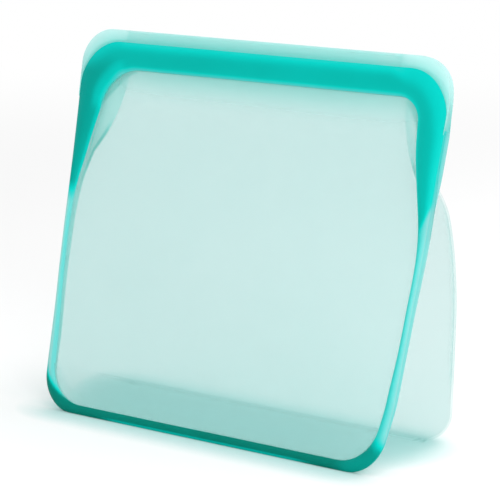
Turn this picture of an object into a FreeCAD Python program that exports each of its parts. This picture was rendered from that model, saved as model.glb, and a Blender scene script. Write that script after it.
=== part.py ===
"""Stand-up food bag moulded in soft silicone, sealed and standing empty, in millimetres.

A clear front sheet leans back and is bonded by a thick coloured rim to a clear tub: back,
two sides and base. Near the top the rim widens into two bonded corners, and between them
the mouth is closed by a seal: a rib along the front band pressed into a groove on the back
band, with a thin ribbed lip above each band to pull it open.

Frame: +X to the right seen from the front, +Y to the back, +Z up, origin under the middle
of the bag. The front is drawn flat, as u across, w into the bag and v up the face, and is
then leaned back about its bottom edge. Left and right are those of someone facing the front.
"""

import FreeCAD, Part
import math
import os

os.makedirs("parts", exist_ok=True)

# Front face, in its own plane
LEAN = 14.6
FRONT_Y = -44.1
FACE_LENGTH = 239.0
BASE_HALF = 121.3
TOP_HALF = 130.2
RIM_DEPTH = 4.0
RIM_ROUNDING = 1.2
WINDOW_BOTTOM = 6.5

# Mouth: the seal band, and where it ends at the bonded corners
MOUTH_HALF = 97.0
BAND_BOTTOM = 215.0
BAND_TOP = 233.0
SEAL_CENTRE = 224.0
FRONT_BAND_DEPTH = 3.5
JAW_FRONT = 3.9
BACK_BAND_FRONT = 7.2
FLANGE_DEPTH = 9.6
LIP_THICKNESS = 1.4
GRIP_RIB = 0.4
GRIP_RIB_COUNT = 3

# Tub
SHEET = 1.2
CORNER_RADIUS = 11.0
HEEL_RADIUS = 15.0
SIDE_FOOT_RADIUS = 18.0
TUB_HALF = 123.0
TUB_BACK = 43.9
ARCH_FRONT = -41.3
ARCH_BACK = 17.7
ARCH_HEIGHT = 16.0
BASE_TOP = 22.0
CORNER_START = 160.0
GAP = 0.4

# Height, half width and back face of the tub at the levels that shape it
TUB_LEVELS = [
    (-10.0, TUB_HALF, TUB_BACK),
    (20.0, TUB_HALF, TUB_BACK),
    (60.0, 124.6, TUB_BACK),
    (100.0, 125.8, 41.0),
    (130.0, 124.9, 36.6),
    (160.0, 119.6, 29.9),
    (184.0, 113.4, 24.6),
]
TUB_TOP = 216.0
TUB_TOP_HALF = 105.0
FAR = 400.0


def point(x, y, z):
    return FreeCAD.Vector(x, y, z)


def face_y(height, depth=0.0):
    """Y of the leaning plane that lies depth behind the front face, at a height."""
    lean = math.radians(LEAN)
    return FRONT_Y + depth / math.cos(lean) + height * math.tan(lean)


def lean_back(shape):
    """Stands a shape drawn in (u, w, v) up into the bag's frame."""
    leaned = shape.copy()
    leaned.rotate(point(0, 0, 0), point(1, 0, 0), -LEAN)
    leaned.translate(point(0, FRONT_Y, 0))
    return leaned


def rounded_wire(corners):
    """Closed wire in the XZ plane through (x, z, radius) corners, each rounded."""
    edges, stops = [], []
    for i, (x, z, radius) in enumerate(corners):
        here = point(x, 0, z)
        to_last = (point(corners[i - 1][0], 0, corners[i - 1][1]) - here).normalize()
        following = corners[(i + 1) % len(corners)]
        to_next = (point(following[0], 0, following[1]) - here).normalize()
        half = to_last.getAngle(to_next) / 2
        reach = radius / math.tan(half)
        bisector = (to_last + to_next).normalize()
        middle = here + bisector * (radius / math.sin(half) - radius)
        start, end = here + to_last * reach, here + to_next * reach
        if radius > 0:
            edges.append(Part.Arc(start, middle, end).toShape())
        stops.append((start, end))
    for i, (start, _) in enumerate(stops):
        edges.append(Part.LineSegment(stops[i - 1][1], start).toShape())
    return Part.Wire(Part.__sortEdges__(edges))


def mirrored(half):
    """The whole outline of a shape drawn as its right half, from bottom to top."""
    return half + [(-x, z, radius) for x, z, radius in reversed(half)]


def plate(corners, front, back):
    """A plate with a rounded outline in (u, v), from depth front to depth back."""
    face = Part.Face(rounded_wire(corners))
    face.translate(point(0, front, 0))
    return face.extrude(point(0, back - front, 0))


def bar(half, bottom, top, front, back):
    """A straight bar across the mouth, in (u, w, v)."""
    return Part.makeBox(2 * half, back - front, top - bottom, point(-half, front, bottom))


def write(name, shape):
    solids = shape.Solids
    whole = solids[0] if len(solids) == 1 else Part.makeCompound(solids)
    whole.exportStep(f"parts/{name}.step")
    print(f"{name}: {len(solids)} solid, {whole.Volume / 1000:.2f} cm3, valid {whole.isValid()}")


def outer_outline():
    return mirrored([
        (BASE_HALF, 0.0, 23.5),
        (125.7, 100.0, 400.0),
        (127.4, 165.0, 400.0),
        (TOP_HALF, FACE_LENGTH, 21.0),
    ])


def window_outline(inset=0.0):
    """Inner edge of the rim, which widens above the middle into the bonded corners."""
    return mirrored([
        (114.9 - inset, WINDOW_BOTTOM + inset, 21.5 - inset),
        (122.9 - inset, 112.0, 150.0),
        (122.8 - inset, 134.0, 40.0),
        (114.4 - inset, 175.0, 80.0),
        (109.0 - inset, BAND_BOTTOM - inset, 14.0 - inset),
    ])


def above_floor(shape):
    """Cuts off what hangs below the floor, which leaves a flat foot."""
    return shape.cut(Part.makeBox(FAR, FAR, 20, point(-FAR / 2, -FAR / 2, -20)))


def front_rim():
    """Bead round the window, open at the mouth, where the seal band swings out."""
    solid = plate(outer_outline(), 0, RIM_DEPTH).cut(plate(window_outline(), -1, RIM_DEPTH + 1))
    front_edges = [e for e in solid.Edges if e.BoundBox.YMax < 0.01]
    solid = solid.makeFillet(RIM_ROUNDING, front_edges)
    mouth = bar(MOUTH_HALF + GAP / 2, BAND_BOTTOM - 10, FACE_LENGTH + 1, -1, RIM_DEPTH + 1)
    return above_floor(lean_back(solid.cut(mouth)))


def round_edge(half, y, z):
    """Rounded edge of a sheet, along X."""
    return Part.makeCylinder(SHEET / 2, 2 * half, point(-half, y, z), point(1, 0, 0))


def front_panel():
    """Clear sheet in the window, bonded to the seal band along its top edge."""
    middle = RIM_DEPTH / 2
    bottom = WINDOW_BOTTOM + GAP + SHEET / 2
    sheet = plate(window_outline(GAP), middle - SHEET / 2, middle + SHEET / 2)
    sheet = sheet.cut(bar(FAR, 0, bottom, 0, RIM_DEPTH)).fuse(round_edge(94.0, middle, bottom))
    return lean_back(sheet)


def back_panel(shell):
    """Clear sheet between the two back edges, up to the seal band."""
    bottom = BASE_TOP + 0.6 + SHEET / 2
    sheet = shell.common(back_window())
    sheet = sheet.cut(Part.makeBox(FAR, FAR, bottom, point(-FAR / 2, 0, 0)))
    return sheet.fuse(round_edge(111.0, TUB_BACK - SHEET / 2, bottom))


def seal_bar(bottom, top, front, back):
    return lean_back(bar(MOUTH_HALF - GAP / 2, bottom, top, front, back))


def seal_rib():
    """Tapered rib on the back of the front band."""
    root, tip, depth = 1.8, 1.0, 3.1
    corners = [
        point(0, FRONT_BAND_DEPTH, SEAL_CENTRE - root),
        point(0, FRONT_BAND_DEPTH + depth, SEAL_CENTRE - tip),
        point(0, FRONT_BAND_DEPTH + depth, SEAL_CENTRE + tip),
        point(0, FRONT_BAND_DEPTH, SEAL_CENTRE + root),
    ]
    section = Part.Face(Part.makePolygon(corners + corners[:1]))
    half = MOUTH_HALF - 1
    section.translate(point(-half, 0, 0))
    return lean_back(section.extrude(point(2 * half, 0, 0)))


def grip_ribs(front, back):
    """Fine ribs that run along a pull lip, for fingers."""
    pitch = (FACE_LENGTH - BAND_TOP) / (GRIP_RIB_COUNT + 1)
    ribs = []
    for i in range(GRIP_RIB_COUNT):
        middle = BAND_TOP + pitch * (i + 1)
        ribs.append(seal_bar(middle - GRIP_RIB / 2, middle + GRIP_RIB / 2, front, back))
    return Part.makeCompound(ribs)


def tub_section(height, half, back, inset):
    """Outline of the tub at one level: open corners in front, rounded ones behind."""
    x, y, radius = half - inset, back - inset, CORNER_RADIUS - inset
    front = face_y(height) - 5
    bend = radius * (1 - math.sqrt(0.5))
    right = [point(x, front, height), point(x, y - radius, height)]
    bend_right = point(x - bend, y - bend, height)
    rear_right = point(x - radius, y, height)

    def other(p):
        return point(-p.x, p.y, p.z)

    return Part.Wire([
        Part.LineSegment(other(right[0]), right[0]).toShape(),
        Part.LineSegment(right[0], right[1]).toShape(),
        Part.Arc(right[1], bend_right, rear_right).toShape(),
        Part.LineSegment(rear_right, other(rear_right)).toShape(),
        Part.Arc(other(rear_right), other(bend_right), other(right[1])).toShape(),
        Part.LineSegment(other(right[1]), other(right[0])).toShape(),
    ])


def tub_walls(inset):
    """Solid inside the tub's back and sides, before its underside is shaped."""
    levels = TUB_LEVELS + [(TUB_TOP, TUB_TOP_HALF, face_y(TUB_TOP, FLANGE_DEPTH))]
    return Part.makeLoft([tub_section(*level, inset) for level in levels], True, True)


def rounded_foot(centre, foot_radius, inset, across):
    """Edges of a quarter-round foot in the plane set by across, then out and up past the tub."""
    radius = foot_radius - inset
    bend = radius * math.sqrt(0.5)
    bottom = across(centre, inset)
    middle = across(centre + bend, foot_radius - bend)
    side = across(centre + radius, foot_radius)
    corners = [side, across(FAR, foot_radius), across(FAR, FAR)]
    return [Part.Arc(bottom, middle, side).toShape()] + lines(corners)


def lines(corners):
    return [Part.LineSegment(a, b).toShape() for a, b in zip(corners, corners[1:])]


def side_profile(inset):
    """Everything above the underside seen from the side: an arch, a flat foot, a round heel."""

    def across(y, z):
        return point(0, y, z)

    start, end = across(ARCH_FRONT, inset), across(ARCH_BACK, inset)
    crown = across((ARCH_FRONT + ARCH_BACK) / 2, ARCH_HEIGHT + inset)
    heel = TUB_BACK - HEEL_RADIUS
    edges = [Part.Arc(start, crown, end).toShape()] + lines([end, across(heel, inset)])
    edges += rounded_foot(heel, HEEL_RADIUS, inset, across)
    edges += lines([across(FAR, FAR), across(-FAR, FAR), across(-FAR, inset), start])
    face = Part.Face(Part.Wire(Part.__sortEdges__(edges)))
    face.translate(point(-FAR / 2, 0, 0))
    return face.extrude(point(FAR, 0, 0))


def front_profile(inset):
    """Everything above the underside seen from the front: a flat foot, round at each side."""
    centre = TUB_HALF - SIDE_FOOT_RADIUS
    right = rounded_foot(centre, SIDE_FOOT_RADIUS, inset, lambda x, z: point(x, 0, z))
    left = rounded_foot(centre, SIDE_FOOT_RADIUS, inset, lambda x, z: point(-x, 0, z))
    joins = lines([point(-centre, 0, inset), point(centre, 0, inset)])
    joins += lines([point(-FAR, 0, FAR), point(FAR, 0, FAR)])
    face = Part.Face(Part.Wire(Part.__sortEdges__(right + left + joins)))
    face.translate(point(0, -FAR / 2, 0))
    return face.extrude(point(0, FAR, 0))


def tub_solid(inset):
    return tub_walls(inset).common(side_profile(inset)).common(front_profile(inset))


def behind_rim(shape, clearance=0.0):
    """Keeps what lies behind the rim's back face, and below the seal band."""
    space = Part.makeBox(FAR, FAR, BAND_BOTTOM + 50, point(-FAR / 2, RIM_DEPTH + clearance, -50))
    return shape.common(lean_back(space))


def back_window(clearance=0.0):
    """Column in Y that the back panel fills between the two back edges."""
    low, high = 111.0 + clearance, MOUTH_HALF - GAP / 2 + clearance
    corners = [(low, BASE_TOP + 0.6 - clearance), (low, 130.0), (high, 190.0), (high, FAR)]
    outline = [point(x, 0, z) for x, z in corners]
    outline += [point(-x, 0, z) for x, z in reversed(corners)]
    face = Part.Face(Part.makePolygon(outline + outline[:1]))
    return face.extrude(point(0, FAR, 0))


def side_window(clearance=0.0):
    """Column in X that a side panel fills, from the rim to the back edges."""
    inner = CORNER_RADIUS + 1 - clearance
    low, high = BASE_TOP + GAP - clearance, CORNER_START - GAP + clearance
    backs = [point(0, back - inner, height) for height, _, back in TUB_LEVELS[2:6]]
    backs[-1].z = high
    outline = [point(0, -FAR, low), point(0, TUB_BACK - inner, low)] + backs + [point(0, -FAR, high)]
    face = Part.Face(Part.makePolygon(outline + outline[:1]))
    return face.extrude(point(FAR, 0, 0))


def slab(low, high):
    """Everything to the right of the middle, between two heights."""
    return Part.makeBox(FAR, FAR, high - low, point(0, -FAR / 2, low))


def base_part(shell, low, high, front, back):
    """Part of the bottom of the tub, between two planes in X and two in Y."""
    return shell.common(Part.makeBox(high - low, back - front, BASE_TOP, point(low, front, 0)))


def right_back_edge(shell):
    """Rounded upright corner between the back and a side."""
    edge = shell.common(slab(BASE_TOP, CORNER_START))
    return edge.cut(side_window(GAP)).cut(back_window(GAP))


def seal_end():
    """Where the rib and the groove run together into one solid, at the end of the mouth."""
    start = MOUTH_HALF + GAP / 2
    size = (6.0, BACK_BAND_FRONT - RIM_DEPTH, 14.0)
    return lean_back(Part.makeBox(*size, point(start, RIM_DEPTH, SEAL_CENTRE - 7)))


def corner_flange():
    """Flange behind the rim's wide shoulder, tapered to nothing at its lower end."""
    flange = plate(outer_outline(), RIM_DEPTH, FLANGE_DEPTH)
    flange = flange.cut(plate(window_outline(), 0, FLANGE_DEPTH + 1))
    start = MOUTH_HALF + GAP / 2
    corners = [(RIM_DEPTH, 167), (FLANGE_DEPTH, 192), (FLANGE_DEPTH, FAR), (RIM_DEPTH, FAR)]
    outline = [point(start, w, v) for w, v in corners]
    wedge = Part.Face(Part.makePolygon(outline + outline[:1])).extrude(point(FAR, 0, 0))
    return lean_back(flange.common(wedge)).cut(seal_end())


def right_top_corner(shell):
    """Bonded corner: the flange, and the top of the tub closing into it."""
    gusset = shell.common(slab(CORNER_START, FAR)).cut(back_window(GAP))
    return corner_flange().fuse(gusset).removeSplitter()


def both_sides(name, shape):
    write(f"right_{name}", shape)
    write(f"left_{name}", shape.mirror(point(0, 0, 0), point(1, 0, 0)))


def write_bag():
    shell = behind_rim(tub_solid(0).cut(tub_solid(SHEET)))
    right_half = shell.common(slab(0, FAR))

    write("front_rim", front_rim())
    straight = TUB_HALF - SIDE_FOOT_RADIUS
    write("base_heel", base_part(shell, -straight, straight, ARCH_BACK, FAR))
    both_sides("base_arch", base_part(shell, 0, straight, -FAR, ARCH_BACK))
    both_sides("base_side", base_part(shell, straight, FAR, -FAR, FAR))
    both_sides("back_edge", right_back_edge(right_half))
    both_sides("top_corner", right_top_corner(right_half))
    both_sides("seal_end", seal_end())
    side_space = behind_rim(right_half, 0.3)
    both_sides("side_panel", side_space.common(side_window()))

    front_lip = (RIM_DEPTH - LIP_THICKNESS) / 2
    write("front_panel", front_panel())
    write("front_seal_band", seal_bar(BAND_BOTTOM - GAP, BAND_TOP, 0, FRONT_BAND_DEPTH))
    write("seal_rib", seal_rib())
    write("front_pull_lip", seal_bar(BAND_TOP, FACE_LENGTH, front_lip, front_lip + LIP_THICKNESS))
    write("front_grip_ribs", grip_ribs(front_lip - GRIP_RIB, front_lip))

    back_lip = FLANGE_DEPTH - LIP_THICKNESS - GRIP_RIB
    write("back_panel", back_panel(shell))
    write("back_seal_band", seal_bar(BAND_BOTTOM, BAND_TOP, BACK_BAND_FRONT, FLANGE_DEPTH))
    write("groove_lower_jaw", seal_bar(217.0, 221.4, JAW_FRONT, BACK_BAND_FRONT))
    write("groove_upper_jaw", seal_bar(226.6, 231.0, JAW_FRONT, BACK_BAND_FRONT))
    write("back_pull_lip", seal_bar(BAND_TOP, FACE_LENGTH, back_lip, back_lip + LIP_THICKNESS))
    write("back_grip_ribs", grip_ribs(FLANGE_DEPTH - GRIP_RIB, FLANGE_DEPTH))


write_bag()
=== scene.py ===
from math import cos, pi, radians, sin, tan

import bpy
import numpy as np
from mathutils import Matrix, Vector


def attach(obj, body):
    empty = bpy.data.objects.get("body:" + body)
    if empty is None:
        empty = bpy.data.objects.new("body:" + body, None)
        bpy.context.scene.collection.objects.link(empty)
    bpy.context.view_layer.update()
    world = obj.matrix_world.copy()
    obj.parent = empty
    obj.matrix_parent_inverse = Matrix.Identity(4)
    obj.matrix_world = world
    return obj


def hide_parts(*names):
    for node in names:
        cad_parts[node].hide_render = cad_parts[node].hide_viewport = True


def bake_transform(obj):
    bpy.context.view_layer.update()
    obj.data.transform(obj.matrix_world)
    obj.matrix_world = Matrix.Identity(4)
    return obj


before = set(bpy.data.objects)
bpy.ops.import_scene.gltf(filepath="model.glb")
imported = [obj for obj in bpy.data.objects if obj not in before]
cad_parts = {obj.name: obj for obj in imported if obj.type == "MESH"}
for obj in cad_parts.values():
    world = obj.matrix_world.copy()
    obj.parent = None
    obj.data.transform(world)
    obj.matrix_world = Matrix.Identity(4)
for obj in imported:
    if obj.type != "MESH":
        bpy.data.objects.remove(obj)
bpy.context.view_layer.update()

MM = 0.001


# Camera and studio
# A long lens looks down a little at the bag from its front right. The bag stands on a plain
# white sweep, under a wide soft lamp overhead and a fill from the right, in an even pale room.
AIM = Vector((0.0, -1.2, 116.0)) * MM
AZIMUTH = radians(34.29)
ELEVATION = radians(12.51)
DISTANCE = 1.2609

camera = bpy.data.objects.new("camera", bpy.data.cameras.new("camera"))
bpy.context.scene.collection.objects.link(camera)
toward = Vector((sin(AZIMUTH) * cos(ELEVATION), -cos(AZIMUTH) * cos(ELEVATION), sin(ELEVATION)))
camera.location = AIM + toward * DISTANCE
camera.rotation_euler = toward.to_track_quat("Z", "Y").to_euler()
camera.data.lens = 152.55
camera.data.shift_x = 0.0158
camera.data.shift_y = -0.0256
camera.data.clip_end = 30.0
bpy.context.scene.camera = camera
bpy.context.scene.view_settings.view_transform = "Standard"
bpy.context.scene.cycles.transparent_max_bounces = 32


class Value:
    """A socket of a node tree, so that its maths reads as arithmetic."""

    def __init__(self, tree, socket):
        self.tree, self.socket = tree, socket

    def maths(self, operation, a, b=0.0):
        return self.tree.node("ShaderNodeMath", {"operation": operation}, {0: a, 1: b})

    def __add__(self, other):
        return self.maths("ADD", self, other)

    def __sub__(self, other):
        return self.maths("SUBTRACT", self, other)

    def __rsub__(self, other):
        return self.maths("SUBTRACT", other, self)

    def __mul__(self, other):
        return self.maths("MULTIPLY", self, other)

    def __pow__(self, other):
        return self.maths("POWER", self, other)

    def __abs__(self):
        return self.maths("ABSOLUTE", self)

    __radd__, __rmul__ = __add__, __mul__


class Tree:
    """A node tree under construction, for a material, the world or a mould."""

    def __init__(self, tree):
        self.tree = tree
        self.tree.nodes.clear()

    def node(self, kind, settings=None, inputs=None, output=0):
        """One node: its settings first, then the values or links of its sockets."""
        made = self.tree.nodes.new(kind)
        for key, setting in (settings or {}).items():
            if key == "stops":
                stops = made.color_ramp.elements
                while len(stops) < len(setting):
                    stops.new(0.5)
                for stop, (position, colour) in zip(stops, setting):
                    stop.position, stop.color = position, (*colour, 1.0)
            else:
                setattr(made, key, setting)
        for key, value in (inputs or {}).items():
            socket = made.inputs[key]
            if isinstance(value, Value):
                self.tree.links.new(value.socket, socket)
            elif isinstance(value, tuple) and len(socket.default_value) == 4:
                socket.default_value = (*value, 1.0)
            else:
                socket.default_value = value
        return Value(self, made.outputs[output])

    def mix(self, share, a, b):
        """Shader a, giving way to shader b as share goes from 0 to 1."""
        return self.node("ShaderNodeMixShader", None, {0: share, 1: a, 2: b})

    def noise(self, scale, detail=3.0):
        where = self.node("ShaderNodeTexCoord", output=3)
        return self.node("ShaderNodeTexNoise", None, {
            "Vector": where, "Scale": scale, "Detail": detail})

    def painted(self, name):
        """A number that the piece carries at each of its points."""
        return self.node("ShaderNodeAttribute", {"attribute_name": name}, output=2)

    def seen_directly(self):
        """1 for what the camera sees, straight or in a gloss, and 0 for light on the bag."""
        straight, gloss, clear = (
            self.node("ShaderNodeLightPath", output=f"Is {ray} Ray")
            for ray in ("Camera", "Glossy", "Transmission"))
        return straight + gloss + clear


def material(name):
    made = bpy.data.materials.new(name)
    made.use_nodes = True
    return made, Tree(made.node_tree)


def finish(made, tree, surface):
    """Ends a material's tree with its surface."""
    out = tree.tree.nodes.new("ShaderNodeOutputMaterial")
    tree.tree.links.new(surface.socket, out.inputs["Surface"])
    return made


WHITE = (1.0, 1.0, 1.0)
ROOM_LIGHT = 0.74
room = bpy.data.worlds.new("room")
room.use_nodes = True
bpy.context.scene.world = room
air = Tree(room.node_tree)
lit = air.node("ShaderNodeBackground", None, {"Color": WHITE, "Strength": ROOM_LIGHT})
shown = air.node("ShaderNodeBackground", None, {"Color": WHITE, "Strength": 1.0})
sky = air.mix(air.seen_directly(), lit, shown)
room.node_tree.links.new(sky.socket, room.node_tree.nodes.new("ShaderNodeOutputWorld").inputs["Surface"])


def softbox(name, place, size, power):
    """A square lamp that faces the middle of the bag."""
    lamp = bpy.data.lights.new(name, "AREA")
    lamp.size, lamp.energy = size, power
    holder = bpy.data.objects.new(name, lamp)
    holder.location = place
    holder.rotation_euler = (Vector(place) - AIM).to_track_quat("Z", "Y").to_euler()
    bpy.context.scene.collection.objects.link(holder)


softbox("overhead_lamp", (0.5, 0.4, 1.5), 1.3, 13.0)
softbox("right_lamp", (1.1, -1.1, 0.8), 0.9, 12.0)

FLOOR_RADIUS = 3.0
FLOOR_SIDES = 96
FLOOR_LIFT = 0.08
FADE_FROM, FADE_TO = 0.3, 1.6
PAPER = (0.80, 0.80, 0.80)
SHADE = (0.36, 0.60, 0.585)
SHADE_REACH = 0.024
SHADE_POWER = 3.4
floor_mesh = bpy.data.meshes.new("floor")
around = np.linspace(0, 2 * pi, FLOOR_SIDES, endpoint=False)
floor_edge = np.stack([np.cos(around), np.sin(around), 0 * around], 1) * FLOOR_RADIUS
floor_mesh.from_pydata(floor_edge.tolist(), [], [list(range(FLOOR_SIDES))])
floor = bpy.data.objects.new("floor", floor_mesh)
bpy.context.scene.collection.objects.link(floor)

sweep, paper = material("white_sweep")
spot = paper.node("ShaderNodeTexCoord", output=3)
distance = paper.node("ShaderNodeVectorMath", {"operation": "LENGTH"}, {0: spot}, output=1)
fade = paper.node("ShaderNodeMapRange", {"interpolation_type": "SMOOTHSTEP"}, {
    0: distance, 1: FADE_FROM, 2: FADE_TO, 3: 0.0, 4: 1.0})
matt = paper.node("ShaderNodeBsdfDiffuse", None, {"Color": PAPER})
# Painted shadow: close to the bag, where it shuts out much of the sky, the floor turns to a shaded aqua,
# standing for the shadow that light through the bag casts
painted_shadow = paper.node("ShaderNodeBsdfDiffuse", None, {"Color": SHADE})
to_bag = paper.node("ShaderNodeVectorMath", {"operation": "NORMALIZE"}, {0: (0.5, 0.62, 0.6)})
open_sky = paper.node("ShaderNodeAmbientOcclusion", {"samples": 8}, {
    "Distance": SHADE_REACH, "Normal": to_bag}, output=1) ** SHADE_POWER
seen = paper.seen_directly()
lift = paper.node("ShaderNodeEmission", None, {"Color": WHITE, "Strength": seen * FLOOR_LIFT})
board = paper.node("ShaderNodeAddShader", None, {0: paper.mix(open_sky, painted_shadow, matt), 1: lift})
far = paper.node("ShaderNodeEmission", None, {
    "Color": WHITE, "Strength": seen * (1 - ROOM_LIGHT) + ROOM_LIGHT})
floor_mesh.materials.append(finish(sweep, paper, paper.mix(fade, board, far)))


# Front rim
# A thick crowned bead of teal silicone, cast round the front and the tub's edge so that it
# bonds the two. It widens above the middle into the shoulders, and runs on across the top as
# the front seal band.
LEAN = radians(14.6)
FRONT_Y = -44.1
MOUTH_HALF = 97.0
# The bag stands a little askew. Its right side stands out by a reach, and its lower half by a share
# of that. Each lower corner is shifted out, or in where the shift is negative, below a height.
RIGHT_REACH = 1.7
LOWER_SHARE = 0.4
RIGHT_FOOT = (-2.3, 44.0)
LEFT_FOOT = (1.4, 75.0)
INTO_BAG = (0.0, cos(LEAN), -sin(LEAN))


def on_face(u, w, v):
    """A point given across the leaning front, into the bag and up the face, in millimetres."""
    u, w, v = np.broadcast_arrays(u, w, v)
    y = FRONT_Y + w * cos(LEAN) + v * sin(LEAN)
    return np.stack([u, y, v * cos(LEAN) - w * sin(LEAN)], axis=-1)


def curve(knots, x):
    """Smooth curve through (x, y) knots that doesn't overshoot them."""
    kx, ky = np.array(knots, float).T
    steps = np.diff(ky) / np.diff(kx)
    slopes = np.concatenate([steps[:1], (steps[:-1] + steps[1:]) / 2, steps[-1:]])
    slopes[1:-1][steps[:-1] * steps[1:] <= 0] = 0.0
    x = np.clip(x, kx[0], kx[-1])
    i = np.clip(np.searchsorted(kx, x, side="right") - 1, 0, len(kx) - 2)
    span = (kx[1:] - kx[:-1])[i]
    t = (x - kx[i]) / span
    rise = ky[i] * (2 * t**3 - 3 * t**2 + 1) + ky[i + 1] * (3 * t**2 - 2 * t**3)
    return rise + span * (slopes[i] * (t**3 - 2 * t**2 + t) + slopes[i + 1] * (t**3 - t**2))


def smooth_step(t):
    t = np.clip(t, 0.0, 1.0)
    return t * t * (3 - 2 * t)


def rising(x, start, width):
    """0 up to the start, 1 from a width further on, and smooth between."""
    return smooth_step((x - start) / width)


def falling(x, end, width):
    """1 until a width before the end, 0 from the end on, and smooth between."""
    return smooth_step((end - x) / width)


BOTTOM_POINTS, LOW_POINTS, SIDE_POINTS, HIGH_POINTS, TOP_POINTS = 34, 12, 63, 18, 51


def arc(corner, start, end, count):
    """Points round a corner, without the first."""
    turn = np.linspace(start, end, count + 1)[1:]
    return np.stack([corner[0] + corner[2] * np.cos(turn), corner[1] + corner[2] * np.sin(turn)], 1)


def half_outline(low, side, high):
    """Right half of an edge of the rim, from bottom middle to top middle.

    low and high are the corners, as (centre across, centre up, radius), and side holds the
    knots between them. Every edge has the same number of points, so two edges pair up.
    """
    bottom = np.stack([np.linspace(0, low[0], BOTTOM_POINTS), np.full(BOTTOM_POINTS, low[1] - low[2])], 1)
    up = np.linspace(low[1], high[1], SIDE_POINTS + 1)[1:]
    knots = [(low[1], low[0] + low[2]), *side, (high[1], high[0] + high[2])]
    edge = np.stack([curve(knots, up), up], 1)
    top = np.stack([np.linspace(high[0], 0, TOP_POINTS + 1)[1:], np.full(TOP_POINTS, high[1] + high[2])], 1)
    low_arc, high_arc = arc(low, -pi / 2, 0, LOW_POINTS), arc(high, 0, pi / 2, HIGH_POINTS)
    return np.concatenate([bottom, low_arc, edge, high_arc, top])


def foot_shift(across, height, shift, below):
    """How far a point moves out with the lower corner on its side."""
    return shift * rising(across, 0, 70) * falling(height, below, 0.75 * below)


def left_half(half):
    """The left half of an edge, still drawn on the right, with its lower corner in place."""
    u, v = half.T
    return np.stack([u + foot_shift(u, v, *LEFT_FOOT), v], 1)


def right_half(half):
    """The right half of an edge, which stands out further at the shoulder, with its lower corner in place."""
    u, v = half.T
    u = u + RIGHT_REACH * rising(u, 0, 60) * (LOWER_SHARE + (1 - LOWER_SHARE) * rising(v, 90, 50))
    return np.stack([u + foot_shift(u, v, *RIGHT_FOOT), v], 1)


def whole_outline(right, left):
    """Both halves of an edge as one loop, anticlockwise from bottom middle."""
    return np.concatenate([right_half(right), left_half(left)[1:-1][::-1] * (-1, 1)])


OUTER_SIDE = [(50, 123.4), (85, 125.1), (120, 126.2), (150, 126.9), (180, 127.9)]
WINDOW_SIDE = [
    (50, 118.3), (70, 120.4), (95, 121.9), (118, 122.6), (132, 122.0), (145, 120.4), (160, 117.3),
    (175, 114.2), (187, 112.2)]
OUTER_LOW, WINDOW_LOW = (98.3, 23.7, 23.7), (93.0, 29.5, 23.5)
window_edge = half_outline(WINDOW_LOW, WINDOW_SIDE, (97.0, 201.0, 14.0))
window_left = half_outline(WINDOW_LOW, WINDOW_SIDE[:-1], (85.0, 189.0, 26.0))
bead_edge = half_outline(OUTER_LOW, OUTER_SIDE, (102.7, 206.7, 26.3))
outer_edge = half_outline(OUTER_LOW, OUTER_SIDE, (109.0, 218.0, 21.0))

# One section of a moulding as a closed loop: how far across each point is, and how far back
FACE_STEPS, SIDE_STEPS, BACK_STEPS = 17, 4, 7
eased = (1 - np.cos(np.linspace(0, pi, FACE_STEPS))) / 2
sides = np.linspace(0, 1, SIDE_STEPS + 2)[1:-1]
SECTION_ACROSS = np.concatenate([
    eased, np.ones(SIDE_STEPS), np.linspace(1, 0, BACK_STEPS), np.zeros(SIDE_STEPS)])
SECTION_LAYER = np.concatenate([0 * eased, sides, np.ones(BACK_STEPS), sides[::-1]])
SHARP = radians(50)


def mesh_piece(name, points, faces):
    """A mesh object, from points in millimetres, smooth but for its sharp edges."""
    mesh = bpy.data.meshes.new(name)
    mesh.from_pydata((points * MM).tolist(), [], faces)
    mesh.polygons.foreach_set("use_smooth", np.ones(len(mesh.polygons), bool))
    mesh.set_sharp_from_angle(angle=SHARP)
    piece = bpy.data.objects.new(name, mesh)
    bpy.context.scene.collection.objects.link(piece)
    return piece


def strip_faces(rows, columns, loop):
    """Quads of a strip whose rows are closed sections, joined end to end or capped."""
    number = np.arange(rows * columns).reshape(rows, columns)
    ahead = np.roll(number, -1, 0) if loop else number[1:]
    here = number if loop else number[:-1]
    quads = np.stack([here, np.roll(here, -1, 1), np.roll(ahead, -1, 1), ahead], -1)
    quads = quads.reshape(-1, 4).tolist()
    return quads if loop else quads + [number[0][::-1].tolist(), number[-1].tolist()]


def paint(piece, **numbers):
    """Stores numbers at each point of a piece, for its material or mould to read."""
    for name, values in numbers.items():
        layer = piece.data.attributes.new(name, "FLOAT", "POINT")
        spread = np.broadcast_to(values, (len(piece.data.vertices),))
        layer.data.foreach_set("value", spread.astype(np.float32))


def points_of(piece):
    places = np.empty(len(piece.data.vertices) * 3)
    piece.data.vertices.foreach_get("co", places)
    return places.reshape(-1, 3) / MM


def stand_on_floor(piece):
    """Lifts what is left under the floor back onto it."""
    for point in piece.data.vertices:
        point.co.z = max(point.co.z, 0.0)


def follow(piece, share):
    """Bakes the piece's place into its points.
    The share is not used.
    """
    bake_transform(piece)


def mouth_share(piece):
    """1 in the middle of the mouth and 0 at the bonded corners."""
    return smooth_step(1 - np.abs(points_of(piece)[:, 0]) / MOUTH_HALF)


HUMP_POWER = 2.2


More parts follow.
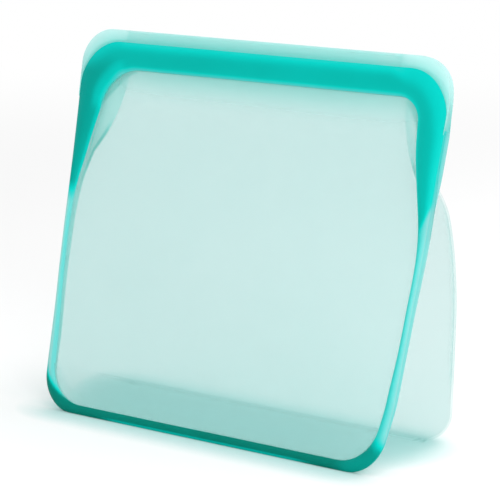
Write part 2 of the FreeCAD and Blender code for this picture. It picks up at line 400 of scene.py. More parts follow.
def bead_mould():
    """Mould of a crowned bead: it presses a flat closed strip, drawn in the face, to its depths."""
    group = bpy.data.node_groups.new("bead_mould", "GeometryNodeTree")
    labels = (("Strip", "Geometry"), ("Edge Depth", "Float"), ("Crown", "Float"), ("Into Bag", "Vector"),
              ("Material", "Material"))
    for label, kind in labels:
        group.interface.new_socket(label, in_out="INPUT", socket_type=f"NodeSocket{kind}")
    group.interface.new_socket("Bead", in_out="OUTPUT", socket_type="NodeSocketGeometry")
    press = Tree(group)
    given = group.nodes.new("NodeGroupInput")
    strip, edge_depth, crown, into_bag, skin = (Value(press, given.outputs[i]) for i in range(len(labels)))

    def carried(name):
        return press.node("GeometryNodeInputNamedAttribute", {"data_type": "FLOAT"}, {"Name": name})

    hump = 1 - abs(carried("across") * 2.0 - 1.0) ** HUMP_POWER
    front = edge_depth - carried("drop") - crown * carried("fullness") * hump
    depth = front + (carried("seat") - front) * carried("layer")
    push = press.node("ShaderNodeVectorMath", {"operation": "SCALE"}, {0: into_bag, 3: depth * MM})
    pressed = press.node("GeometryNodeSetPosition", None, {"Geometry": strip, "Offset": push})
    real = press.node("GeometryNodeRealizeInstances", None, {0: pressed})
    coloured = press.node("GeometryNodeSetMaterial", None, {"Geometry": real, "Material": skin})
    out = group.nodes.new("NodeGroupOutput")
    group.links.new(coloured.socket, out.inputs[0])
    return group


def cast(piece, mould, **inputs):
    """Runs a mould on a piece and keeps the result as its plain mesh. The labels are the mould's inputs."""
    modifier = piece.modifiers.new("mould", "NODES")
    modifier.node_group = mould
    sockets = {s.name: s.identifier for s in mould.interface.items_tree if s.in_out == "INPUT"}
    for label, value in inputs.items():
        modifier[sockets[label.replace("_", " ").title()]] = value
    evaluated = piece.evaluated_get(bpy.context.evaluated_depsgraph_get())
    cast_mesh = bpy.data.meshes.new_from_object(evaluated)
    piece.modifiers.remove(modifier)
    piece.data = cast_mesh
    cast_mesh.set_sharp_from_angle(angle=SHARP)


def srgb(red, green, blue):
    """Colour of a paint chip, given in the 0 to 255 numbers of a screen."""
    chip = np.array([red, green, blue]) / 255
    return tuple(float(c) for c in np.where(chip < 0.04045, chip / 12.92, ((chip + 0.055) / 1.055) ** 2.4))


TEAL_STOPS = [
    (0.0, srgb(200, 242, 241)), (0.2, srgb(140, 230, 230)), (0.42, srgb(70, 221, 216)),
    (0.6, srgb(0, 216, 205)), (0.76, srgb(0, 195, 184)), (1.0, srgb(0, 124, 110)),
]
TEAL_GLOW = srgb(0, 214, 202)
TEAL_THROUGH = srgb(120, 230, 220)


def teal_silicone(name):
    """Pigmented translucent silicone: pale and see-through where it is thin and where highlights are painted,
    deep teal where it is thick and where shade is painted.
    """
    made, tree = material(name)
    depth = tree.painted("depth")
    cloud = tree.noise(22.0)
    colour = tree.node("ShaderNodeValToRGB", {"stops": TEAL_STOPS}, {0: depth + (cloud - 0.5) * 0.07})
    grain = tree.noise(1600.0, 2.0)
    bump = tree.node("ShaderNodeBump", None, {"Strength": 0.05, "Distance": 0.0002, "Height": grain})
    body = tree.node("ShaderNodeBsdfPrincipled", None, {
        "Base Color": colour, "Roughness": 0.38, "IOR": 1.41, "Specular IOR Level": 0.08, "Normal": bump})
    glow = tree.node("ShaderNodeBsdfTranslucent", None, {"Color": TEAL_GLOW})
    lit_through = tree.mix(0.2, body, glow)
    through = tree.node("ShaderNodeBsdfTransparent", None, {"Color": TEAL_THROUGH})
    clarity = tree.node("ShaderNodeMapRange", None, {0: depth, 1: 0.0, 2: 0.6, 3: 0.3, 4: 0.0})
    return finish(made, tree, tree.mix(clarity, lit_through, through))


def moulding(name, inner, outer, loop=False):
    """A flat closed strip between two edges in the face, ready for the mould.

    With it come, for each of its points: u across and v up the face, the strip's width there, s from
    its inner edge to its outer, and t from its front to its back.
    """
    grid = inner[:, None] + (outer - inner)[:, None] * SECTION_ACROSS[None, :, None]
    u, v = grid[..., 0], grid[..., 1]
    width = np.linalg.norm(outer - inner, axis=1)[:, None] + 0 * SECTION_ACROSS
    piece = mesh_piece(name, on_face(u, 0.0, v).reshape(-1, 3), strip_faces(*grid.shape[:2], loop))
    s, t = (np.broadcast_to(part, width.shape) for part in (SECTION_ACROSS, SECTION_LAYER))
    return piece, u.ravel(), v.ravel(), width.ravel(), s.ravel(), t.ravel()


def bead_depth(u, v, s, t, w):
    """How deep the teal looks, from 0 to 1, at each point of a strip. w is how far back the point is.

    It is deep where the silicone is thick: in the band, the shoulders and the foot. Painted shade makes the
    foot and the left shoulder deeper still. It is pale along the narrow sides of the rim, and along its
    edges, where
    painted highlights also lie: along the inner and bottom edges, on the right shoulder's outer side and in
    the inner half of the left top corner.
    """
    aside = np.abs(u)
    left = falling(u, 0, 20)
    right = 1 - left
    broad = left * rising(v, 128, 16) + right * rising(v, 137.5 + 13 * s**2, 7)
    foot = falling(v, 25.5 - 2.5 * s + left * (21.5 * s - 9.5), 10)
    narrow = (1 - broad) * (1 - foot)
    shoulder = broad * rising(aside, 96, 12)
    # Painted shade: the left shoulder, turned away from the light, is painted a little deeper and keeps no
    # pale outer side.
    shaded_left_shoulder = left * shoulder * falling(v, 226, 16)
    # Where the right shoulder turns, a painted highlight reaches further in.
    lit_right_turn = rising(u, 90, 15) * rising(v, 190, 25)

    band_tone = 0.74 + 0.04 * np.sin(pi * np.clip(s, 0, 1))
    # Painted shade: the foot is painted deeper than its thick silicone alone makes it, as it faces down to
    # the floor. It is a little paler towards the right corner.
    foot_tone = 1.0 - 0.08 * rising(u, 88, 14)
    side_tone = right * (0.47 - 0.36 * s**2) + left * (0.05 + 0.21 * falling(s, 0.55, 0.35))
    face = foot * foot_tone + broad * band_tone + narrow * side_tone + 0.09 * shaded_left_shoulder

    # The band's outer side fades paler where the bead thins out. On the right shoulder's turn the pale zone
    # reaches further in, as painted highlight.
    outer_fade_and_highlight = (1 - shaded_left_shoulder) * (0.19 - 0.05 * shoulder) * rising(s, 0.55 - 0.25 * lit_right_turn, 0.35)
    # Painted highlight: a pale line along the inner edge, weaker in the shoulders.
    inner_edge_highlight = 0.36 * (1 - 0.5 * shoulder) * falling(s, 1 / 6, 1 / 6)
    # Painted highlight: the inner half of the left top corner, which turns towards the light, is painted
    # paler.
    corner_highlight = 0.13 * left * rising(aside, 94, 6) * rising(v, 186, 10) * falling(s, 0.42, 0.22)
    # Painted highlight: a pale line along the outer part of the bottom edge, lit from the floor, fading out
    # towards the corners.
    bottom_highlight = falling(aside, 80, 20) * (0.24 * rising(s, 0.62, 0.12) + 0.14 * rising(s, 0.86, 0.1))
    face = face - broad * (outer_fade_and_highlight + inner_edge_highlight) - corner_highlight - foot * bottom_highlight

    behind = (0.13 + 0.18 * broad) * rising(w, 2.0, 6.0)
    outer_side = 0.22 * narrow + 0.45 * broad + 0.82 * foot - behind
    inner_side = 0.62 * broad * rising(v, 186, 12) + 0.2 * narrow * (1 - t) + 0.85 * foot * right
    side = np.where(s > 0.5, outer_side, inner_side)
    return np.clip(np.where(t > 0, side, face), 0, 1)


RIM_SEAT = [
    (0, 3.6), (26, 4.0), (45, 5.2), (70, 5.6), (90, 6.2), (115, 7.2), (144, 7.6), (156, 7.0),
    (170, 4.6), (178, 4.0)]
RIM_EDGE = 2.0
RIM_CROWN = 2.0
FULL_WIDTH = 12.0
rim, u, v, width, s, t = moulding(
    "front_rim", whole_outline(window_edge, window_left), whole_outline(bead_edge, bead_edge), loop=True)
at_mouth = falling(np.abs(u), MOUTH_HALF + 2, 4) * rising(v, 208, 6)
seat = curve(RIM_SEAT, v) - 0.5 * at_mouth
w = RIM_EDGE + (seat - RIM_EDGE) * t
fullness = np.clip(width / FULL_WIDTH, 0.78, 1)
paint(rim, across=s, layer=t, seat=seat, drop=0.0, fullness=fullness, depth=bead_depth(u, v, s, t, w))
press_bead = bead_mould()
cast(rim, press_bead, edge_depth=RIM_EDGE, crown=RIM_CROWN, into_bag=INTO_BAG,
     material=teal_silicone("teal_rim"))
stand_on_floor(rim)
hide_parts("front_rim", "front_seal_band")
follow(rim, mouth_share(rim))


# Clear front
# One clear moulded panel, 1.2 mm thick, bonded into the rim all round. It hangs back by a few
# millimetres in the middle, because nothing behind it holds it flat. It is bare and unmarked.
WALL = 1.2
FRONT_SEAT = 2.2
UNDER_RIM = 1.2
SLUMP = 2.2
SHEET_MIDDLE, SHEET_REACH = 108.0, 107.8
SHEET_ROWS, SHEET_COLUMNS = 61, 73


def shell(name, points, faces, normals, thickness, keep=None):
    """A closed shell of the kept faces, thickened inwards, and the points that it uses.

    Its rims, where it is bonded to its neighbours, have its second material.
    """
    faces = faces if keep is None else [face for face, kept in zip(faces, keep) if kept]
    used = np.unique(np.concatenate([np.array(face) for face in faces]))
    place = {int(old): new for new, old in enumerate(used)}
    skin = [[place[i] for i in face] for face in faces]
    count = len(used)
    edges = {}
    for face in skin:
        for a, b in zip(face, face[1:] + face[:1]):
            edges[(a, b)] = True
    rims = [[b, a, a + count, b + count] for a, b in edges if (b, a) not in edges]
    lining = [[i + count for i in reversed(face)] for face in skin]
    outside = points[used]
    inside = outside - normals[used] * thickness
    piece = mesh_piece(name, np.concatenate([outside, inside]), skin + lining + rims)
    slots = np.zeros(len(piece.data.polygons), np.int32)
    slots[len(skin) + len(lining):] = 1
    piece.data.polygons.foreach_set("material_index", slots)
    return piece, used


def surface(grid):
    """Points and faces of a grid of points."""
    points = grid.reshape(-1, 3)
    number = np.arange(len(points)).reshape(grid.shape[:2])
    quads = np.stack([number[:-1, :-1], number[1:, :-1], number[1:, 1:], number[:-1, 1:]], -1).reshape(-1, 4)
    return points, quads


def normals_of(points, faces):
    """Normal at each point, from the faces round it."""
    corners = np.array([face + face[-1:] * (4 - len(face)) for face in faces])
    a, b, c, d = (points[column] for column in corners.T)
    across = np.cross(c - a, d - b)
    normals = np.zeros_like(points)
    for column in corners.T:
        np.add.at(normals, column, across)
    return normals / np.maximum(np.linalg.norm(normals, axis=1, keepdims=True), 1e-9)


# Painted shade: the front takes a darker tint than the tub, as the lamp on the right lights the tub's side
# walls more than the front.
CLEAR_TINT = (0.93, 0.958, 0.957)
FRONT_TINT = (0.905, 0.95, 0.948)
CLEAR_STOPS = ((0.0, srgb(206, 240, 237)), (1.0, srgb(70, 216, 206)))


def clear_silicone(name, haze, tint=CLEAR_TINT, milk=CLEAR_STOPS):
    """Clear silicone with a faint aqua tint, which deepens where it is painted deep.

    Most of the light goes straight through it. A share that grows with the haze and with the paint
    is scattered instead.
    """
    made, tree = material(name)
    depth = tree.painted("depth")
    cloud = tree.noise(14.0)
    grain = tree.noise(1400.0, 2.0)
    bump = tree.node("ShaderNodeBump", None, {"Strength": 0.04, "Distance": 0.0002, "Height": grain})
    colour = tree.node("ShaderNodeValToRGB", {"stops": list(milk)}, {0: depth})
    body = tree.node("ShaderNodeBsdfPrincipled", None, {
        "Base Color": colour, "Roughness": 0.32, "IOR": 1.41, "Specular IOR Level": 0.4, "Normal": bump})
    pale, deep = (tree.node("ShaderNodeBsdfTranslucent", None, {"Color": milk[i][1]}) for i in (0, 1))
    scattered = tree.mix(0.5, body, tree.mix(depth, pale, deep))
    through = tree.node("ShaderNodeBsdfTransparent", None, {"Color": tint})
    share = cloud * (haze * 0.4) + depth * (1.0 - haze) * 0.9 + (haze * 0.8 + 0.02)
    return finish(made, tree, tree.mix(share, through, scattered))


def bonded_edge():
    """An edge that has run together with its neighbour's, so that nothing of it shows."""
    made, tree = material("bonded_edge")
    return finish(made, tree, tree.node("ShaderNodeBsdfTransparent"))


def under_rim(half, rows):
    """How far the sheet reaches to one side in each row: just past the window's edge, under the rim."""
    side = half[BOTTOM_POINTS - 1:1 - TOP_POINTS]
    return np.interp(rows, side[:, 1], side[:, 0])[:, None] + UNDER_RIM


rows = SHEET_MIDDLE + SHEET_REACH * np.sin(np.linspace(-pi / 2, pi / 2, SHEET_ROWS))
across = np.linspace(-1, 1, SHEET_COLUMNS)
right_reach, left_reach = under_rim(right_half(window_edge), rows), under_rim(left_half(window_left), rows)
sheet_u, sheet_v = np.where(across > 0, right_reach, left_reach) * across, rows[:, None] + 0 * across
sag = SLUMP * (1 - across**2) * np.sin(pi * sheet_v / (2 * SHEET_MIDDLE))
points, quads = surface(on_face(sheet_u, FRONT_SEAT + sag, sheet_v))
quads = quads.tolist()
out_of_bag = -np.broadcast_to(np.array(INTO_BAG), points.shape)
front, used = shell("clear_front", points, quads, out_of_bag, WALL)
near_band = rising(sheet_v, 193, 24) * (1 - 0.4 * np.abs(across) ** 4) * (1 - 0.9 * rising(-sheet_u, 94, 8))
near_foot = falling(sheet_v, 24, 20)
deep = (0.44 * near_band + 0.04 * near_foot).ravel()[used]
paint(front, depth=np.concatenate([deep, deep]))
stand_on_floor(front)
front.data.materials.append(clear_silicone("clear_front", 0.20, tint=FRONT_TINT))
BONDED = bonded_edge()
front.data.materials.append(BONDED)
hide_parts("front_panel")
follow(front, mouth_share(front))


# Tub: back, sides, upright back edges, base and top corners
# One clear moulding 1.2 mm thick. Its back stands upright at the bottom and then leans forward
# to meet the front at the seal, and its sides draw in to the ends of the mouth. The base arches
# up behind the front rim and comes down to a rounded heel, and every corner is round.
# How far back the back is, how far out the sides and the rim are, and how deep the flange is, by height
BACK_LEVELS = [
    (0, 43.9), (60, 43.7), (88, 42.1), (112, 39.1), (138, 34.6), (163, 29.2), (184, 24.8), (208, 21.0)]
HALF_LEVELS = [
    (0, 123.0), (30, 123.7), (60, 124.6), (85, 125.6), (105, 125.8), (130, 124.8), (142, 123.2),
    (152, 119.4), (160, 114.4), (168, 109.6), (178, 105.2), (192, 101.0), (208, 98.5)]
RIM_LEVELS = [(0, 120.0), (30, 120.8), (48, 121.8), (82, 123.5), (116, 124.6), (145, 125.2), (208, 127.0)]
FLANGE_LEVELS = [
    (0, 2.6), (26, 3.0), (45, 4.2), (70, 4.6), (90, 5.2), (112, 6.2), (138, 6.6), (150, 7.9),
    (160, 9.0), (180, 9.3), (230, 9.4)]
# How high the base is, from front to back. Where this is negative, the base is on the floor.
ARCH = [
    (-44, -6.0), (-41, 4.0), (-36, 15.5), (-29, 19.8), (-18, 20.0), (-13, 18.5), (-4, 14.8),
    (10, 9.5), (20, 5.0), (27, 0.5), (31, -4.0), (50, -8.0)]
CORNER_RADIUS = 11.0
HEEL_RADIUS = 15.0
SIDE_FOOT = 18.0
FRONT_FOOT = 23.0
STRAIGHT_FROM = 26.0
SHOULDER_FROM = 150.0
ARCH_BLEND = 60.0
ARCH_SOFTNESS = 7.0
TUB_TOP = 208.0
TUB_HAZE = 0.08
SIDE_ROWS, SHOULDER_ROWS = 50, 27
SIDE_COLUMNS, CORNER_COLUMNS, BACK_COLUMNS = 36, 11, 37


def front_of_tub(z):
    """Where the tub's wall meets the back of the rim and flange."""
    return FRONT_Y + curve(FLANGE_LEVELS, z) / cos(LEAN) + z * tan(LEAN)


def smooth_max(a, b, k):
    """The larger of two heights, blended where they cross."""
    return np.maximum(a, b) + np.maximum(k - np.abs(a - b), 0) ** 2 / (4 * k)


turn = np.linspace(0, pi / 2, 15)
levels = np.concatenate([
    np.linspace(STRAIGHT_FROM, SHOULDER_FROM, SIDE_ROWS),
    np.linspace(SHOULDER_FROM, TUB_TOP, SHOULDER_ROWS)[1:]])
# Each row of points goes along a side, round the corner and inward to the middle of the back
to_corner, to_back = SIDE_COLUMNS - 1, SIDE_COLUMNS + CORNER_COLUMNS - 2
along = np.concatenate([np.linspace(0, 1, SIDE_COLUMNS), np.ones(CORNER_COLUMNS + BACK_COLUMNS - 2)])
corner = np.concatenate([np.zeros(to_corner), np.linspace(0, 1, CORNER_COLUMNS), np.ones(BACK_COLUMNS - 1)])
inward = np.concatenate([np.zeros(to_back), np.linspace(0, 1, BACK_COLUMNS)])
foot = FRONT_FOOT + (SIDE_FOOT - FRONT_FOOT) * rising(along, 0, 0.45)
foot = foot + (HEEL_RADIUS - SIDE_FOOT) * smooth_step(corner)
blend_up = np.array([1 / 3, 2 / 3])[:, None]
sine = np.concatenate([np.sin(turn), np.ones(len(blend_up) + len(levels))])[:, None]
z = np.concatenate([
    foot * (1 - np.cos(turn))[:, None], foot + (STRAIGHT_FROM - foot) * blend_up, levels[:, None] + 0 * foot])
half, back = curve(HALF_LEVELS, z), curve(BACK_LEVELS, z)
tuck = np.maximum(half - curve(RIM_LEVELS, z), 0) * (1 - rising(along, 0.015, 0.14))
room_inside = back - front_of_tub(z)
radius = np.clip(np.minimum(CORNER_RADIUS, 0.7 * room_inside), 0.3, None) * sine
side_x = half - tuck - foot * (1 - sine)
heel_y = back - HEEL_RADIUS * (1 - sine)
angle = corner * pi / 2
x = side_x - radius * (1 - np.cos(angle))
y_side = front_of_tub(z) + (heel_y - radius - front_of_tub(z)) * along
y = y_side + radius * np.sin(angle)
x = x * (1 - inward)
tub_half = np.stack([x, y, z], -1)
# The right half runs from the rim to the middle of the back, and the left half returns to the rim
tub_grid = np.concatenate([tub_half, tub_half[:, :-1][:, ::-1] * (-1, 1, 1)], 1)
tray_x = np.concatenate([1 - inward[-BACK_COLUMNS:], -(1 - inward[-BACK_COLUMNS:-1])[::-1]])
tray_edge = tub_half[0, :SIDE_COLUMNS]
tray_y = tray_edge[:, 1:2] + 0 * tray_x
tray_grid = np.stack([tray_edge[:, :1] * tray_x, tray_y, 0 * tray_y], -1)

wall_points, wall_quads = surface(tub_grid)
tray_points, tray_quads = surface(tray_grid)
tub_points = np.concatenate([wall_points, tray_points])
tub_quads = np.concatenate([wall_quads[:, ::-1], tray_quads + len(wall_points)])
# The base arches up, along the lean near the rim, and the walls follow the rim where it is askew
x, y, z = tub_points.T
lift = smooth_max(curve(ARCH, y), 0.0, ARCH_SOFTNESS) * falling(z, ARCH_BLEND, ARCH_BLEND)
z += lift
y += lift * tan(LEAN) * falling(y - FRONT_Y, 20, 20)
x += LOWER_SHARE * RIGHT_REACH * rising(x, 0, 60)
x += foot_shift(x, z, *RIGHT_FOOT) * falling(y - FRONT_Y - z * tan(LEAN), 25, 25)

_, first, welded = np.unique(np.round(tub_points, 3), axis=0, return_index=True, return_inverse=True)
tub_points = tub_points[first]
welded = welded.ravel()[tub_quads].tolist()
tub_faces, region = [], []
columns = tub_grid.shape[1] - 1
base_rows = len(turn) + len(blend_up)
for k, face in enumerate(welded):
    face = list(dict.fromkeys(face))
    if len(face) < 3:
        continue
    tub_faces.append(face)
    row, column = divmod(k, columns) if k < len(wall_quads) else (-1, columns // 2)
    from_rim = min(column, columns - 1 - column)
    if row < base_rows:
        region.append("base")
    elif from_rim >= to_back:
        region.append("back")
    elif row >= base_rows + SIDE_ROWS - 1:
        region.append("shoulder")
    else:
        region.append("side" if from_rim < to_corner else "edge")
region = np.array(region)
centre_x = np.array([tub_points[face][:, 0].mean() for face in tub_faces])
tub_normals = normals_of(tub_points, tub_faces)
if (tub_normals * (tub_points - (0, 0, 80))).sum() < 0:
    tub_normals = -tub_normals
    tub_faces = [face[::-1] for face in tub_faces]


def tub_piece(name, keep, depth, *nodes):
    """One part of the tub, with its material and the nodes that it stands for. depth is how it is painted."""
    piece, used = shell(name, tub_points, tub_faces, tub_normals, WALL, keep)
    places = tub_points[used]
    paint(piece, depth=np.concatenate([depth(*places.T)] * 2))
    stand_on_floor(piece)
    piece.data.materials.append(clear_silicone(f"clear_{name}", TUB_HAZE))
    piece.data.materials.append(BONDED)
    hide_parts(*nodes)
    return piece


def near_rim(x, y, z):
    """Deeper along the line where the wall runs into the rim or flange."""
    return 0.2 * falling(y - front_of_tub(z), 3.5, 3.5)


def base_tone(x, y, z):
    return near_rim(x, y, z) * rising(z, 4, 8)


def back_tone(x, y, z):
    """Deeper at the top, beside the band."""
    return 0.25 * rising(z, 196, 12)


def edge_tone(x, y, z):
    """Deeper where the wall is seen along its thickness, half way round an upright edge."""
    turned = np.clip((y - curve(BACK_LEVELS, z)) / CORNER_RADIUS + 1, 0, 1)
    return 0.24 * rising(x, 0, 50) * np.sin(pi * turned) * rising(z, 26, 16) * falling(z, 150, 16)


def shoulder_tone(x, y, z):
    return near_rim(x, y, z) * falling(z, 186, 12) + back_tone(x, y, z)


tray = tub_piece("base", region == "base", base_tone,
                 "left_base_arch", "right_base_arch", "base_heel", "left_base_side", "right_base_side")
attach(tray, "bag")

back_piece = tub_piece("clear_back", region == "back", back_tone, "back_panel")
follow(back_piece, mouth_share(back_piece) * rising(points_of(back_piece)[:, 2], 27, 50))

for side, sign in (("right", 1), ("left", -1)):
    own = centre_x * sign > 0
    wall = tub_piece(f"{side}_wall", own & (region == "side"), near_rim, f"{side}_side_panel")
    _, y, z = points_of(wall).T
    front_y, back_y = front_of_tub(z), curve(BACK_LEVELS, z) - CORNER_RADIUS
    bell = np.sin(pi * np.clip((y - front_y) / (back_y - front_y), 0, 1)) ** 2
    bell = bell * rising(z, 28, 50) * falling(z, 148, 50)
    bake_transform(wall)
    edge = tub_piece(f"{side}_back_edge", own & (region == "edge"), edge_tone, f"{side}_back_edge")
    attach(edge, "bag")
    shoulder = tub_piece(
        f"{side}_shoulder", own & (region == "shoulder"), shoulder_tone, f"{side}_top_corner")
    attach(shoulder, "bag")


# Shoulder webs and corner blocks
# In each shoulder the silicone is solid between the front rim and the tub: a web slopes from the
# rim's inner edge back to the tub's wall, and outside the bead a pale block rounds off the corner.
FLANGE_DEPTH = 9.4
WEB_FROM, WEB_TO = 134.0, 214.0
WEB_FRONT = 3.8
WEB_WALL = 0.8
BLOCK_EDGE, BLOCK_CROWN = 1.8, 0.6
WEB_STOPS = ((0.0, srgb(212, 244, 241)), (0.7, srgb(0, 206, 196)), (1.0, srgb(0, 165, 160)))
CORNER_STOPS = ((0.0, srgb(214, 246, 244)), (0.5, srgb(112, 229, 223)), (1.0, srgb(20, 216, 206)))
LIP_HAZE = 0.8


def tub_half_at(v, w):
    return curve(HALF_LEVELS, v * cos(LEAN) - w * sin(LEAN))


web_v = np.linspace(WEB_FROM, WEB_TO, 60)[:, None]
web_s = np.linspace(0, 1, 25)[None]
web_depth = curve(FLANGE_LEVELS, web_v * cos(LEAN) - 9 * sin(LEAN))
web_w = WEB_FRONT + (web_depth + 0.2 - WEB_FRONT) * web_s
for side, sign, edge in (("right", 1, window_edge), ("left", -1, window_left)):
    side_u, side_v = edge[BOTTOM_POINTS + LOW_POINTS:1 - TOP_POINTS].T
    inner_u = np.interp(web_v, side_v, side_u) + 0.6
    web_end = np.minimum(tub_half_at(web_v, web_depth), inner_u) - 1.5
    web_u = inner_u + (web_end - inner_u) * web_s**1.3
    web_width = np.hypot(web_end - inner_u, web_depth - WEB_FRONT)
    stands_out = 0.7 * RIGHT_REACH if sign > 0 else 0
    points, quads = surface(on_face(web_u * sign + stands_out, web_w, web_v + 0 * web_s))
    quads = quads.tolist() if sign > 0 else quads[:, ::-1].tolist()
    normals = normals_of(points, quads)
    web, used = shell(f"{side}_web", points, quads, normals, WEB_WALL)
    line = falling(np.abs((1 - web_s) * web_width - 1.0), 1.8, 1.8)
    line = line * falling(web_v, 186, 14) * (0.3 + 0.7 * rising(web_v, 140, 20))
    top = falling(web_s, np.clip((web_v - 188) / 26, 0, 1), 0.12)
    deep = np.clip(0.04 + 0.9 * line + 0.5 * top, 0, 1).ravel()[used]
    paint(web, depth=np.concatenate([deep, deep]))
    haze = 0.3 if sign > 0 else 0.7
    web.data.materials.append(clear_silicone(f"{side}_web", haze, milk=WEB_STOPS))
    web.data.materials.append(BONDED)
    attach(web, "bag")


def lip_tone(u, s):
    """Deep beside the band and pale at the free edge, a little deeper along the middle."""
    return np.clip(0.30 - 0.30 * s, 0, 1) + 0.06 * falling(np.abs(u), 88, 14)


FINE_STATIONS, RUN_STATIONS = 4000, 40


def corner_run(edge, low, reach, top_reach):
    """An edge of the rim round a shoulder, from a height up to the end of the mouth, evenly spaced.

    It stands out by its reach, or by its top reach above the turn.
    """
    stations = np.linspace(0, len(edge) - 1, FINE_STATIONS)
    fine = np.stack([np.interp(stations, np.arange(len(edge)), column) for column in edge.T], 1)
    fine = fine[(fine[:, 1] > low) & (fine[:, 0] > MOUTH_HALF - 0.6 - reach)]
    walked = np.concatenate([[0], np.cumsum(np.linalg.norm(np.diff(fine, axis=0), axis=1))])
    even = np.linspace(0, walked[-1], RUN_STATIONS)
    run = np.stack([np.interp(even, walked, column) for column in fine.T], 1)
    run[:, 0] += top_reach + (reach - top_reach) * falling(run[:, 1], 222, 14)
    return run


for side, sign in (("right", 1), ("left", -1)):
    reach = RIGHT_REACH if sign > 0 else 0.0
    inner = corner_run(bead_edge, 198.0, reach, reach) * (sign, 1)
    outer = corner_run(outer_edge, 206.0, reach, 0.3 * reach) * (sign, 1)
    inner = inner - (outer - inner) * 0.3
    if sign < 0:
        inner, outer = inner[::-1], outer[::-1]
    block, u, v, width, s, t = moulding(f"{side}_corner_block", inner, outer)
    seat = FLANGE_DEPTH - 0.3 - 2.8 * rising(v, 194, 16)
    deep = lip_tone(u, s) + 0.25 * falling(v, 220, 14) * t
    paint(block, across=s, layer=t, seat=seat, drop=0.4 * (1 - s), fullness=1 - s, depth=deep)
    cast(block, press_bead, edge_depth=BLOCK_EDGE, crown=BLOCK_CROWN, into_bag=INTO_BAG,
         material=clear_silicone(f"{side}_corner", LIP_HAZE, milk=CORNER_STOPS))
    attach(block, "bag")


# Pull lips
# Above each band the silicone thins to a pale lip, 1.4 mm thick, between the corner blocks. Fine
# ribs along it give the fingers a grip.
LIP = 1.4
BAND_TOP = 233.0
FACE_TOP = 239.0
UNDER_BAND = 1.8
RIB_COUNT = 3
RIB_RADIUS = 0.2
LIP_STATIONS = 97


def rib_mould():
    """Mould of the grip: equal fine ribs across a lip, each a low bar with a rounded top."""
    group = bpy.data.node_groups.new("rib_mould", "GeometryNodeTree")
    labels = (("Blank", "Geometry"), ("Count", "Int"), ("Pitch", "Float"), ("Length", "Float"),
              ("Radius", "Float"), ("Start", "Vector"), ("Up Face", "Vector"), ("Material", "Material"))
    for label, kind in labels:
        group.interface.new_socket(label, in_out="INPUT", socket_type=f"NodeSocket{kind}")
    group.interface.new_socket("Ribs", in_out="OUTPUT", socket_type="NodeSocketGeometry")
    press = Tree(group)
    given = group.nodes.new("NodeGroupInput")
    _, count, pitch, length, radius, start, up_face, skin = (
        Value(press, given.outputs[i]) for i in range(len(labels)))
    step = press.node("ShaderNodeVectorMath", {"operation": "SCALE"}, {0: up_face, 3: pitch})
    places = press.node("GeometryNodeMeshLine", {"mode": "OFFSET"}, {
        "Count": count, "Start Location": start, "Offset": step})
    rod = press.node("GeometryNodeMeshCylinder", None, {
        "Vertices": 10, "Side Segments": 72, "Radius": radius, "Depth": length})
    laid = press.node("GeometryNodeTransform", None, {"Geometry": rod, "Rotation": (0.0, pi / 2, 0.0)})
    ribs = press.node("GeometryNodeInstanceOnPoints", None, {"Points": places, "Instance": laid})
    real = press.node("GeometryNodeRealizeInstances", None, {0: ribs})
    coloured = press.node("GeometryNodeSetMaterial", None, {"Geometry": real, "Material": skin})
    out = group.nodes.new("NodeGroupOutput")
    group.links.new(coloured.socket, out.inputs[0])
    return group


press_ribs = rib_mould()
lip_u = np.linspace(-MOUTH_HALF, MOUTH_HALF, LIP_STATIONS)
for name, wall, depth, ribs_at in (("front", "front_wall", 1.8, -0.1), ("back", "back_wall", 8.4 - LIP, LIP)):
    inner = np.stack([lip_u, np.full(LIP_STATIONS, BAND_TOP - UNDER_BAND)], 1)
    outer = np.stack([lip_u, np.full(LIP_STATIONS, FACE_TOP)], 1)
    lip, u, v, width, s, t = moulding(f"{name}_pull_lip", inner, outer)
    paint(lip, across=s, layer=t, seat=depth + LIP, drop=0.4 * (1 - s), fullness=1 - s, depth=lip_tone(u, s))
    cast(lip, press_bead, edge_depth=depth, crown=BLOCK_CROWN, into_bag=INTO_BAG,
         material=clear_silicone(f"{name}_lip", LIP_HAZE, milk=CORNER_STOPS))
    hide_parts(f"{name}_pull_lip")
    follow(lip, mouth_share(lip))

    ribs = mesh_piece(f"{name}_grip_ribs", np.zeros((1, 3)), [])
    pitch = (FACE_TOP - BAND_TOP) / (RIB_COUNT + 1)
    start = on_face(0.0, depth + ribs_at, BAND_TOP + pitch) * MM
    cast(ribs, press_ribs, count=RIB_COUNT, pitch=pitch * MM, length=(2 * MOUTH_HALF - 2) * MM,
         radius=RIB_RADIUS * MM, start=tuple(float(c) for c in start), up_face=(0.0, sin(LEAN), cos(LEAN)),
         material=clear_silicone(f"{name}_ribs", LIP_HAZE, milk=CORNER_STOPS))
    paint(ribs, depth=0.12)
    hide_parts(f"{name}_grip_ribs")
    follow(ribs, mouth_share(ribs))


# Back seal band
# The same teal bead as the front's, on the back. Between the corners it stands off the front
# band to leave room for the seal, and at the corners it is bonded to the front rim.
BAND_EDGE = 9.2
BAND_CROWN = 0.6
BAND_START = 84


def top_part(edge):
    """An edge from half way up one side, over the top and down to half way up the other, clockwise."""
    whole = whole_outline(edge, edge)
    return whole[BAND_START:len(whole) - BAND_START + 1][::-1]


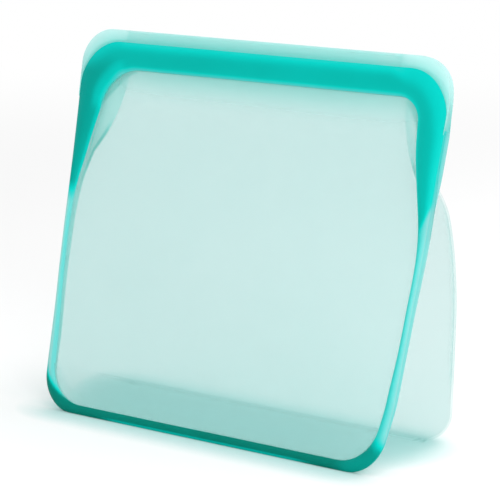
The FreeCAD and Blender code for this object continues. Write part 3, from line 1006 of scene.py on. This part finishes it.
band, u, v, width, s, t = moulding("back_seal_band", top_part(window_edge), top_part(bead_edge))
stand_off = falling(np.abs(u), MOUTH_HALF + 1, 2) * rising(v, 205, 6)
taper = rising(v, 146, 30)
seat = curve([(146, 6.4), (158, 6.0), (170, 4.2), (178, 3.6)], v) + 3.6 * stand_off
drop = 2.2 * (1 - taper) + 2.8 * rising(v, 194, 16) * rising(np.abs(u), 98, 8)
w = BAND_EDGE - drop + (seat - BAND_EDGE + drop) * t
deep = bead_depth(u, v, s, 1 - t, w)
paint(band, across=s, layer=t, seat=seat, drop=drop, fullness=0.25 + 0.75 * taper, depth=deep)
cast(band, press_bead, edge_depth=BAND_EDGE, crown=-BAND_CROWN, into_bag=INTO_BAG,
     material=teal_silicone("teal_back_band"))
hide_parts("back_seal_band")
follow(band, mouth_share(band))


# Seal
# The rib stands on the back of the front band, and two jaws on the back band grip it. At each
# end of the mouth all three run together into one solid.
SEAL_GAP = 0.4
SEAL_STATIONS = 73


def seal_bar(node, low, high, front_w, back_w):
    """A bar right across the mouth. low and high are its heights at the front and at the back."""
    u = np.linspace(SEAL_GAP - MOUTH_HALF, MOUTH_HALF - SEAL_GAP, SEAL_STATIONS)[:, None]
    depths = np.array([front_w, back_w, back_w, front_w])
    heights = np.array([low[0], low[1], high[1], high[0]])
    piece = mesh_piece(node, on_face(u, depths, heights).reshape(-1, 3), strip_faces(SEAL_STATIONS, 4, False))
    paint(piece, depth=0.8)
    piece.data.materials.append(teal_silicone(f"teal_{node}"))
    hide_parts(node)
    follow(piece, mouth_share(piece))


seal_bar("seal_rib", (222.2, 223.0), (225.8, 225.0), 3.4, 6.6)
seal_bar("groove_lower_jaw", (217.0, 217.0), (221.4, 221.4), 4.3, 7.4)
seal_bar("groove_upper_jaw", (226.6, 226.6), (231.0, 231.0), 4.3, 7.4)

for side in ("left", "right"):
    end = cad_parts[f"{side}_seal_end"]
    end.data.materials.clear()
    end.data.materials.append(teal_silicone(f"teal_{side}_seal_end"))
